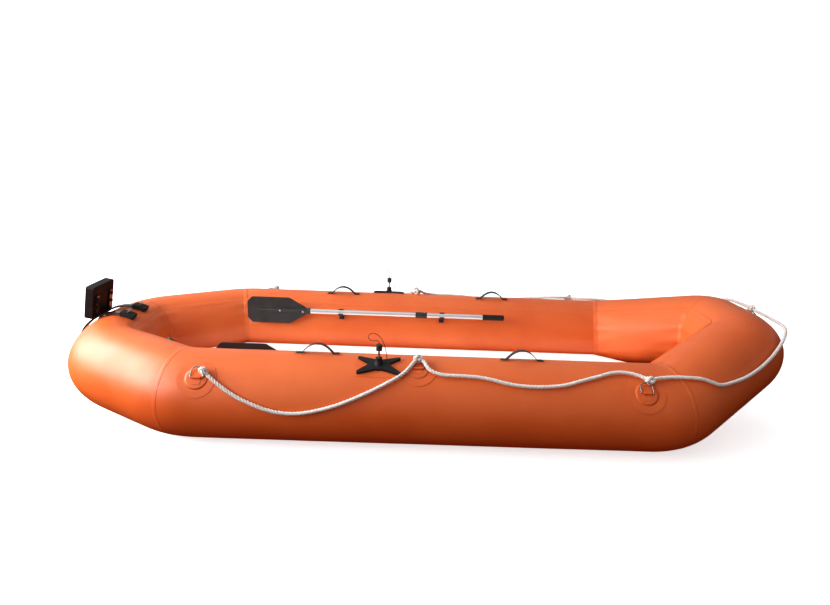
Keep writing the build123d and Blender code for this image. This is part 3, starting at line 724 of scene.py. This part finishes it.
def make_lengthways_tape():
    """One long strip on the inner upper side of all eight gores, over the tapes at the corners."""
    middle = math.radians(125)
    half_angle = 0.012 / TUBE
    lines = [HullLine(middle + half_angle * share) for share in (-1, -0.8, 0, 0.8, 1)]
    lifts = (0.0001, 0.0007, 0.0007, 0.0007, 0.0001)
    rows = []
    for index in range(8):
        run_steps = max(6, round(lines[2].length(index) / RUN_STEP))
        beside = list(zip(*(line.along(index, run_steps) for line in lines)))
        for entries in beside[:-1]:
            rows.append([
                point + out * (pucker(point, middle) + lift) for (point, out), lift in zip(entries, lifts)
            ])
    rows.append(rows[0])
    verts = [place for row in rows for place in row]
    uvs = [(0.03 * row, 0.006 * column) for row in range(len(rows)) for column in range(5)]
    faces = [tuple(reversed(face)) for face in grid_faces(len(rows), 5)]
    tape = piece("inner_seam_tape", verts, faces, "hull", "hull_rubber", taped, uvs=uvs)
    thicken(tape, TAPE_THICKNESS)
    apply_modifiers(tape)


def make_baffles():
    """Inner walls between the fore and the aft air chamber, bellied a little by pressure."""
    parts = []
    rings, around = 8, 48
    for side in SIDES.values():
        middle = Vector((-0.230, side * SIDE_Y, TUBE))
        verts = []
        for ring in range(1, rings + 1):
            radius = 0.1775 * ring / rings
            belly = -0.012 * (1 - (ring / rings) ** 2)
            for step in range(around):
                angle = math.tau * step / around
                verts.append(middle + Vector((belly, radius * math.cos(angle), radius * math.sin(angle))))
        parts.append((verts, [*grid_faces(rings, around, wrap=True), tuple(range(around))]))
    wall = piece("tube_baffle_walls", *join_parts(parts), "hull", "hull_rubber", patched)
    thicken(wall, FABRIC)
    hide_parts("tube_baffles")


make_seam_tapes()
make_lengthways_tape()
make_baffles()

# ---- deck and bottom


def inset_outline(inset):
    """Corners of the axis polygon's plan moved inward."""
    flat = [Vector((point.x, point.y)) for point in AXIS]
    out = []
    for index in range(8):
        before, here, after = flat[index - 1], flat[index], flat[(index + 1) % 8]
        first, second = (here - before).normalized(), (after - here).normalized()
        # The polygon runs anticlockwise seen from above, so its inside is on the left
        left_first, left_second = Vector((-first.y, first.x)), Vector((-second.y, second.x))
        half = (left_first + left_second).normalized()
        out.append(here + half * (inset / half.dot(left_first)))
    return out


def clip_ahead(outline, limit):
    """Outline cut off square at its front."""
    out = []
    for a, b in zip(outline, outline[1:] + outline[:1]):
        if a.x <= limit:
            out.append(a)
        if (a.x - limit) * (b.x - limit) < 0:
            out.append(a.lerp(b, (limit - a.x) / (b.x - a.x)))
    return out


def round_outline(outline, radius):
    """Closed outline with round corners, as CORNER_STEPS + 1 points for each."""
    out = []
    for index in range(len(outline)):
        before, here, after = outline[index - 1], outline[index], outline[(index + 1) % len(outline)]
        run_in, run_out = (before - here).normalized(), (after - here).normalized()
        half_turn = (math.pi - run_in.angle(run_out)) / 2
        cut = radius * math.tan(half_turn)
        start, end = here + run_in * cut, here + run_out * cut
        for step in range(CORNER_STEPS + 1):
            share = step / CORNER_STEPS
            out.append(start * (1 - share) ** 2 + here * (2 * share * (1 - share)) + end * share**2)
    return out


def inset_ring(inset, front, radius):
    """Closed ring of points inside the tubes, cut off at its front.

    Rings with the same corners have the same count of points, so they join without folds.
    """
    arcs = round_outline(clip_ahead(inset_outline(inset), front), radius)
    per_arc = CORNER_STEPS + 1
    out = []
    for index in range(0, len(arcs), per_arc):
        arc = arcs[index : index + per_arc]
        ahead = arcs[(index + per_arc) % len(arcs)]
        out += arc + [arc[-1].lerp(ahead, step / STRETCH_STEPS) for step in range(1, STRETCH_STEPS)]
    return out


CORNER_STEPS, STRETCH_STEPS = 8, 40
DECK_INSET, DECK_FRONT = 0.159, 1.150
DECK_LOW, DECK_HIGH = 0.021, 0.121
DECK_CORNER = 0.07
BOTTOM_INSET, BOTTOM_FRONT = 0.071, 1.061
BOTTOM_TOP = 0.0112


def deck_ring(depth):
    """Ring round the air deck, a depth in from its outermost edge."""
    return inset_ring(DECK_INSET + depth, DECK_FRONT - depth, max(DECK_CORNER - depth, 0.012))


def from_rings(name, rings, material, closed=False):
    """Smooth piece of closed rings of points, each joined to the next, with its last ring filled.

    A closed piece has its first ring filled too, and its faces turned outward.
    """
    count = len(rings[0])
    shape = bmesh.new()
    made = [shape.verts.new(place) for ring in rings for place in ring]
    for face in grid_faces(len(rings), count, wrap=True):
        shape.faces.new([made[index] for index in (reversed(face) if closed else face)])
    for ring in (made[-count:], made[:count]) if closed else (made[-count:],):
        edges = [shape.edges.get(ends) or shape.edges.new(ends) for ends in zip(ring, ring[1:] + ring[:1])]
        bmesh.ops.triangle_fill(shape, edges=edges, use_beauty=True)
    bmesh.ops.recalc_face_normals(shape, faces=shape.faces)
    for face in shape.faces:
        face.smooth = True
    mesh = bpy.data.meshes.new(name)
    shape.to_mesh(mesh)
    shape.free()
    return mesh_object(name, mesh, "hull", material)


def make_deck():
    """Air deck: flat drop-stitch panel with round sides."""
    middle, half = (DECK_LOW + DECK_HIGH) / 2, (DECK_HIGH - DECK_LOW) / 2
    profile = []
    for step in range(17):
        angle = math.radians(-90 + 180 * step / 16)
        profile.append((half * (1 - math.cos(angle)), middle + half * math.sin(angle)))
    profile = [(0.10, DECK_LOW), (0.075, DECK_LOW), *profile, (0.075, DECK_HIGH), (0.10, DECK_HIGH)]
    rings = []
    for depth, height in profile:
        ring = []
        for place in deck_ring(depth):
            wave = 0.0006 * noise.noise(Vector((place.x * 3, place.y * 3, height)))
            ring.append(Vector((place.x, place.y, height - abs(wave) if height > middle else height)))
        rings.append(ring)
    deck = from_rings("air_deck_panel", rings, deck_cloth, closed=True)
    layer = deck.data.uv_layers.new(name="cloth")
    for loop in deck.data.loops:
        layer.data[loop.index].uv = deck.data.vertices[loop.vertex_index].co.xy
    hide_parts("air_deck")
    thicken(deck, FABRIC)
    cut_round_hole(deck, *VALVES["deck"], VALVE_HOLE, depth=0.02)


def make_deck_tape(depth=0.052, width=0.030):
    """Tape over the edge seam of the deck's top."""
    lift = (0.0002, 0.0012, 0.0012, 0.0002)
    spots = (depth, depth + 0.002, depth + width - 0.002, depth + width)
    verts, uvs = [], []
    for spot, height in zip(spots, lift):
        for place in deck_ring(spot):
            verts.append(Vector((place.x, place.y, DECK_HIGH + height)))
            uvs.append((place.x, place.y))
    faces = grid_faces(4, len(verts) // 4, wrap=True)
    tape = piece("air_deck_edge_tape", verts, faces, "hull", "deck_rubber", deck_cloth, uvs=uvs)
    thicken(tape, 0.0009)
    apply_modifiers(tape)


def make_bottom():
    """Bottom sheet stretched between the tubes, with a few shallow waves."""
    rings = []
    for depth in (0.0, 0.03, 0.06, 0.09):
        ring = []
        for place in inset_ring(BOTTOM_INSET + depth, BOTTOM_FRONT - depth, 0.02):
            wave = 0.0012 * noise.noise(Vector((place.x * 6, place.y * 6, 0.5))) * min(1, depth / 0.05)
            ring.append(Vector((place.x, place.y, BOTTOM_TOP + wave)))
        rings.append(ring)
    sheet = from_rings("bottom_sheet", rings, bottom_cloth)
    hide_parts("bottom_fabric")
    thicken(sheet, FABRIC)
    apply_modifiers(sheet)


make_deck()
make_deck_tape()
make_bottom()

# ---- places on the side tubes


def side_place(station, degrees, side):
    """Frame on a side tube as in the CAD: x along it, y up round it and z outward from the skin."""
    out_y, out_z = side * math.cos(math.radians(degrees)), math.sin(math.radians(degrees))
    z_axis = Vector((0, out_y, out_z))
    x_axis = Vector((-side, 0, 0))
    y_axis = z_axis.cross(x_axis)
    turn = Matrix((x_axis, y_axis, z_axis)).transposed().to_4x4()
    origin = (station, side * SIDE_Y + TUBE * out_y, TUBE * (1 + out_z))
    return Matrix.Translation(origin) @ turn


def nose_place(degrees):
    """Frame on the nose tube at the middle of the boat."""
    z_axis = Vector((math.cos(math.radians(degrees)), 0, math.sin(math.radians(degrees))))
    x_axis = Vector((0, 1, 0))
    turn = Matrix((x_axis, z_axis.cross(x_axis), z_axis)).transposed().to_4x4()
    return Matrix.Translation(Vector((NOSE_X, 0, NOSE_Z)) + z_axis * TUBE) @ turn


def on_skin(x, y, lift):
    """Local place a height above the tube's round skin."""
    reach = TUBE + lift
    angle = y / TUBE
    return Vector((x, reach * math.sin(angle), reach * math.cos(angle) - TUBE))


# ---- handles

HANDLE_STATIONS = {"aft": -0.455, "fore": 0.380}
HANDLE_ANGLE = 96
STRAP_HALF_WIDTH = 0.0125
STRAP_THICKNESS = 0.0024
ARCH_HALF = 0.064
ARCH_HEIGHT = 0.043
TAB_END = 0.088
STRAP_LIFT = 0.0019


def strap_line():
    """Middle line of a handle's strap, in the plane of x and z: tab, arch, tab."""
    line = []
    for step in range(7):
        line.append((-TAB_END + (TAB_END - ARCH_HALF) * step / 6, 0.0))
    for step in range(1, 40):
        x = -ARCH_HALF + 2 * ARCH_HALF * step / 40
        share = abs(x) / ARCH_HALF
        rise = (1 - share**2) * (1 - 0.25 * share**6)
        line.append((x, rise * (ARCH_HEIGHT - STRAP_THICKNESS - STRAP_LIFT)))
    for step in range(7):
        line.append((ARCH_HALF + (TAB_END - ARCH_HALF) * step / 6, 0.0))
    return line


def strap_mesh(frame_matrix, line):
    """Flat webbing with rolled edges that follows a line."""
    section = [
        (-1.0, 0.28), (-0.94, 0.0), (0.0, -0.04), (0.94, 0.0), (1.0, 0.28),
        (1.0, 0.72), (0.94, 1.0), (0.0, 1.04), (-0.94, 1.0), (-1.0, 0.72),
    ]
    verts, uvs = [], []
    along = 0.0
    for index, (x, z) in enumerate(line):
        before = line[max(index - 1, 0)]
        after = line[min(index + 1, len(line) - 1)]
        ahead = Vector((after[0] - before[0], 0, after[1] - before[1])).normalized()
        over = Vector((-ahead.z, 0, ahead.x))
        along += math.hypot(x - before[0], z - before[1])
        for width, height in section:
            y = width * STRAP_HALF_WIDTH
            # The tabs lie on the round of the tube, and the arch is straight across
            base = on_skin(x, y, STRAP_LIFT) if z < 0.001 else Vector((x, y, z + STRAP_LIFT))
            verts.append(frame_matrix @ (base + over * (height * STRAP_THICKNESS)))
            uvs.append((along, y + 0.003 * height))
    faces = grid_faces(len(line), len(section), wrap=True)
    faces.append(tuple(reversed(range(len(section)))))
    last = (len(line) - 1) * len(section)
    faces.append(tuple(range(last, last + len(section))))
    return verts, faces, uvs


def stitch(frame_matrix, x, y, lift, turn):
    """One stitch: a short thread lying on the webbing."""
    half = Vector((math.cos(turn), math.sin(turn), 0)) * 0.0013
    sunk = Vector((0, 0, 0.0004))
    middle = on_skin(x, y, lift)
    line = [middle - half - sunk, middle - half * 0.5, middle + half * 0.5, middle + half - sunk]
    return tube_along([frame_matrix @ point for point in line], 0.00032, 5)


def box_stitch(frame_matrix, middle_x, half_x, half_y, lift):
    """A box of stitches with a cross in it."""
    corners = [(-half_x, -half_y), (half_x, -half_y), (half_x, half_y), (-half_x, half_y)]
    crossing = [(corners[0], corners[2]), (corners[1], corners[3])]
    seams = [*zip(corners, corners[1:] + corners[:1]), *crossing]
    parts = []
    for (x1, y1), (x2, y2) in seams:
        length = math.hypot(x2 - x1, y2 - y1)
        count = max(2, round(length / 0.0036))
        turn = math.atan2(y2 - y1, x2 - x1)
        for step in range(count):
            share = (step + 0.5) / count
            x = middle_x + x1 + (x2 - x1) * share
            parts.append(stitch(frame_matrix, x, y1 + (y2 - y1) * share, lift, turn))
    return parts


def make_handles():
    """Four carrying straps, with the stitches that hold their tabs."""
    stitches = []
    for side_name, side in SIDES.items():
        for place_name, station in HANDLE_STATIONS.items():
            seat = side_place(station, HANDLE_ANGLE, side)
            verts, faces, uvs = strap_mesh(seat, strap_line())
            node = f"{side_name}_{place_name}_handle"
            strap = piece(f"{node}_strap", verts, faces, "hull", "strap_webbing", webbing, uvs=uvs)
            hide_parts(node)
            top = STRAP_LIFT + STRAP_THICKNESS + 0.0001
            for end in (-1, 1):
                middle = end * (ARCH_HALF + TAB_END) / 2
                stitches += box_stitch(seat, middle, 0.0095, 0.0095, top)
    piece("handle_stitches", *join_parts(stitches), "hull", "strap_webbing", thread)


make_handles()

# ---- second layer of the ring patches

# Station and angle round the side tube, in degrees
RING_PLACES = [(-0.895, 43), (-0.047, 66), (0.845, 42)]
NOSE_RING_ANGLE = 44


def disc_on_skin(frame_matrix, radius, lift, rings=5, around=48):
    """Round patch that follows the tube's skin, its rim a little lower."""
    verts = [frame_matrix @ on_skin(0, 0, lift)]
    for ring in range(1, rings + 1):
        reach = radius * ring / rings
        height = lift if ring < rings else lift - 0.0005
        for step in range(around):
            angle = math.tau * step / around
            verts.append(frame_matrix @ on_skin(reach * math.cos(angle), reach * math.sin(angle), height))
    faces = [(0, 1 + step, 1 + (step + 1) % around) for step in range(around)]
    faces += grid_faces(rings, around, wrap=True, start=1)
    return verts, faces


def make_ring_discs():
    """Round top layers of the patches under the rings."""
    seats = [side_place(*place, side) for side in SIDES.values() for place in RING_PLACES]
    seats.append(nose_place(NOSE_RING_ANGLE))
    discs = [disc_on_skin(seat, 0.046, 0.0017) for seat in seats]
    layer = piece("d_ring_patch_top_layers", *join_parts(discs), "hull", "patch_orange", patched)
    thicken(layer, 0.0004)


make_ring_discs()

# ---- rivets in the oar blades

# Distances from a blade's outer end, along its middle line
RIVET_STATIONS = (0.172, 0.295)


def rivet_head(centre, out, radius=0.0052, height=0.0024, rings=5, around=24):
    """Low domed head that stands on a surface, its rim sunk in it a little."""
    turn = out.to_track_quat("Z", "Y").to_matrix()
    verts = []
    for ring in range(rings):
        share = math.pi / 2 * ring / rings
        reach, lift = radius * math.cos(share), height * math.sin(share) - 0.0003
        for step in range(around):
            angle = math.tau * step / around
            verts.append(centre + turn @ Vector((reach * math.cos(angle), reach * math.sin(angle), lift)))
    verts.append(centre + out * (height - 0.0003))
    faces = grid_faces(rings, around, wrap=True)
    last = (rings - 1) * around
    faces += [(last + step, last + (step + 1) % around, len(verts) - 1) for step in range(around)]
    faces.append(tuple(reversed(range(around))))
    return verts, faces


def make_blade_rivets():
    """Two rivets with a head on each face of each blade."""
    for side_name in SIDES:
        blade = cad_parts[f"{side_name}_oar_blade"]
        low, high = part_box(blade.name)
        tree = BVHTree.FromObject(blade, bpy.context.evaluated_depsgraph_get())
        heads = []
        for station in RIVET_STATIONS:
            for face_side in (-1, 1):
                out = Vector((0, face_side, 0))
                middle = Vector((low[0] + station, (low[1] + high[1]) / 2, (low[2] + high[2]) / 2))
                hit = tree.ray_cast(middle + out * 0.1, -out)[0]
                heads.append(rivet_head(hit, out))
        piece(f"{side_name}_blade_rivets", *join_parts(heads), f"{side_name}_oar", "bright_steel", steel)


make_blade_rivets()

# ---- CAD nodes that stay

# Material and width of the rounded edges, in metres, of each CAD node that is seen
LOOKS = {
    "handle_patches": (patched, 0),
    "rowlock_patches": (patched, 0),
    "clip_patches": (patched, 0),
    "d_ring_patches": (patched, 0),
    "d_ring_tabs": (patched, 0.0005),
    "d_rings": (ring_steel, 0),
    "valve_bodies": (valve_grey, 0.0005),
    "motor_mount_board": (lacquer, 0.0012),
    "motor_mount_arms": (enamel, 0.0008),
    "motor_mount_bolts": (enamel, 0.0006),
    "motor_mount_feet": (soft_rubber, 0.002),
}
for valve_name in VALVES:
    LOOKS[f"{valve_name}_valve_cap"] = (valve_grey, 0.0004)
    LOOKS[f"{valve_name}_valve_poppet"] = (valve_grey, 0.0004)
SIDE_LOOKS = {
    "rowlock_base": (soft_rubber, 0.0012),
    "rowlock_pin": (steel, 0.0004),
    "rowlock_knob": (moulded, 0.0008),
    "oar_clips": (moulded, 0.0008),
    "oar_blade": (moulded, 0.0012),
    "oar_lower_shaft": (drawn_aluminium, 0),
    "oar_upper_shaft": (drawn_aluminium, 0),
    "oar_sleeve": (moulded, 0.0006),
    "oar_button": (steel, 0),
    "oar_grip": (soft_rubber, 0.0008),
    "mount_screw": (steel, 0.0005),
}
for side_name in SIDES:
    LOOKS.update({f"{side_name}_{part}": look for part, look in SIDE_LOOKS.items()})

for node_name, (material, width) in LOOKS.items():
    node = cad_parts[node_name]
    if not node.material_slots:
        node.data.materials.append(material)
    for node_slot in node.material_slots:
        node_slot.material = material
    if width:
        bevel(node, width)

# ---- floor, light and sky


def stage_piece(name, mesh, material):
    """Part of the studio: the camera sees it, and it throws no light or colour on the object."""
    obj = bpy.data.objects.new(name, mesh)
    bpy.context.scene.collection.objects.link(obj)
    mesh.materials.append(material)
    obj.visible_diffuse = False
    obj.visible_glossy = False
    obj.visible_transmission = False
    return obj


def make_stage():
    """Pale floor and a white dome behind it."""
    mesh = bpy.data.meshes.new("floor")
    mesh.from_pydata([(-60, -60, 0), (60, -60, 0), (60, 60, 0), (-60, 60, 0)], [], [(0, 1, 2, 3)])
    pale = new_material("pale_floor", (0.90, 0.90, 0.90), 0.9,
                        Emission_Color=(1, 1, 1, 1), Emission_Strength=0.55)
    grain_bump(pale, 30, 0.0005, 0.2)
    stage_piece("floor", mesh, pale)

    shape = bmesh.new()
    bmesh.ops.create_uvsphere(shape, u_segments=48, v_segments=24, radius=90)
    mesh = bpy.data.meshes.new("backdrop")
    shape.to_mesh(mesh)
    shape.free()
    white = new_material("white_backdrop", (0, 0, 0), 1.0, Specular_IOR_Level=0.0,
                         Emission_Color=(1, 1, 1, 1), Emission_Strength=1.0)
    stage_piece("backdrop", mesh, white).visible_shadow = False


# Strength of the sky towards the stern and towards the bow
SKY_AFT, SKY_BOW = 0.85, 0.17


def make_sky():
    """Soft light from above, stronger from aft than from ahead, and a faint red from below."""
    world = bpy.data.worlds.new("sky")
    bpy.context.scene.world = world
    world.use_nodes = True
    nodes, links = world.node_tree.nodes, world.node_tree.links
    place = nodes.new("ShaderNodeTexCoord")
    split = nodes.new("ShaderNodeSeparateXYZ")
    ramp = nodes.new("ShaderNodeValToRGB")
    ramp.color_ramp.elements[0].position = 0.46
    ramp.color_ramp.elements[0].color = (0.20, 0.018, 0.004, 1)
    ramp.color_ramp.elements[1].position = 0.52
    ramp.color_ramp.elements[1].color = (1, 1, 1, 1)
    height = nodes.new("ShaderNodeMapRange")
    strength = nodes.new("ShaderNodeMapRange")
    for span, axis in ((height, "Z"), (strength, "X")):
        span.inputs["From Min"].default_value = -1
        span.inputs["From Max"].default_value = 1
        links.new(split.outputs[axis], span.inputs["Value"])
    strength.inputs["To Min"].default_value = SKY_AFT
    strength.inputs["To Max"].default_value = SKY_BOW
    links.new(place.outputs["Generated"], split.inputs["Vector"])
    links.new(height.outputs["Result"], ramp.inputs["Fac"])
    links.new(ramp.outputs["Color"], nodes["Background"].inputs["Color"])
    links.new(strength.outputs["Result"], nodes["Background"].inputs["Strength"])


def add_area(name, place, target, size, power, only_on=None):
    """Soft rectangular lamp; only_on names the few pieces that it lights."""
    light = bpy.data.lights.new(name, "AREA")
    light.shape = "RECTANGLE"
    light.size, light.size_y = size
    light.energy = power
    lamp = bpy.data.objects.new(name, light)
    bpy.context.scene.collection.objects.link(lamp)
    towards = Vector(target) - Vector(place)
    lamp.matrix_world = Matrix.Translation(place) @ towards.to_track_quat("-Z", "Y").to_matrix().to_4x4()
    if only_on:
        lit = bpy.data.collections.new(f"{name}_lit")
        for piece_name in only_on:
            lit.objects.link(bpy.data.objects[piece_name])
        lamp.light_linking.receiver_collection = lit


make_stage()
make_sky()
add_area("stern_glow", (-3.65, -0.20, 1.55), (-1.20, -0.40, 0.30), (2.4, 2.0), 130)
add_area("key", (-3.3, -1.9, 1.6), (-1.0, -0.4, 0.25), (1.8, 1.6), 54)
add_area("top", (-0.4, 0.4, 4.0), (-0.2, 0.0, 0.0), (5.0, 3.0), 16)
DECK_PIECES = ("air_deck_panel", "air_deck_edge_tape")
add_area("deck", (0.0, 0.0, 3.0), (0.0, 0.0, 0.0), (2.4, 0.8), 42, DECK_PIECES)
bpy.context.scene.view_settings.view_transform = "Standard"
bpy.context.scene.view_settings.look = "Medium High Contrast"
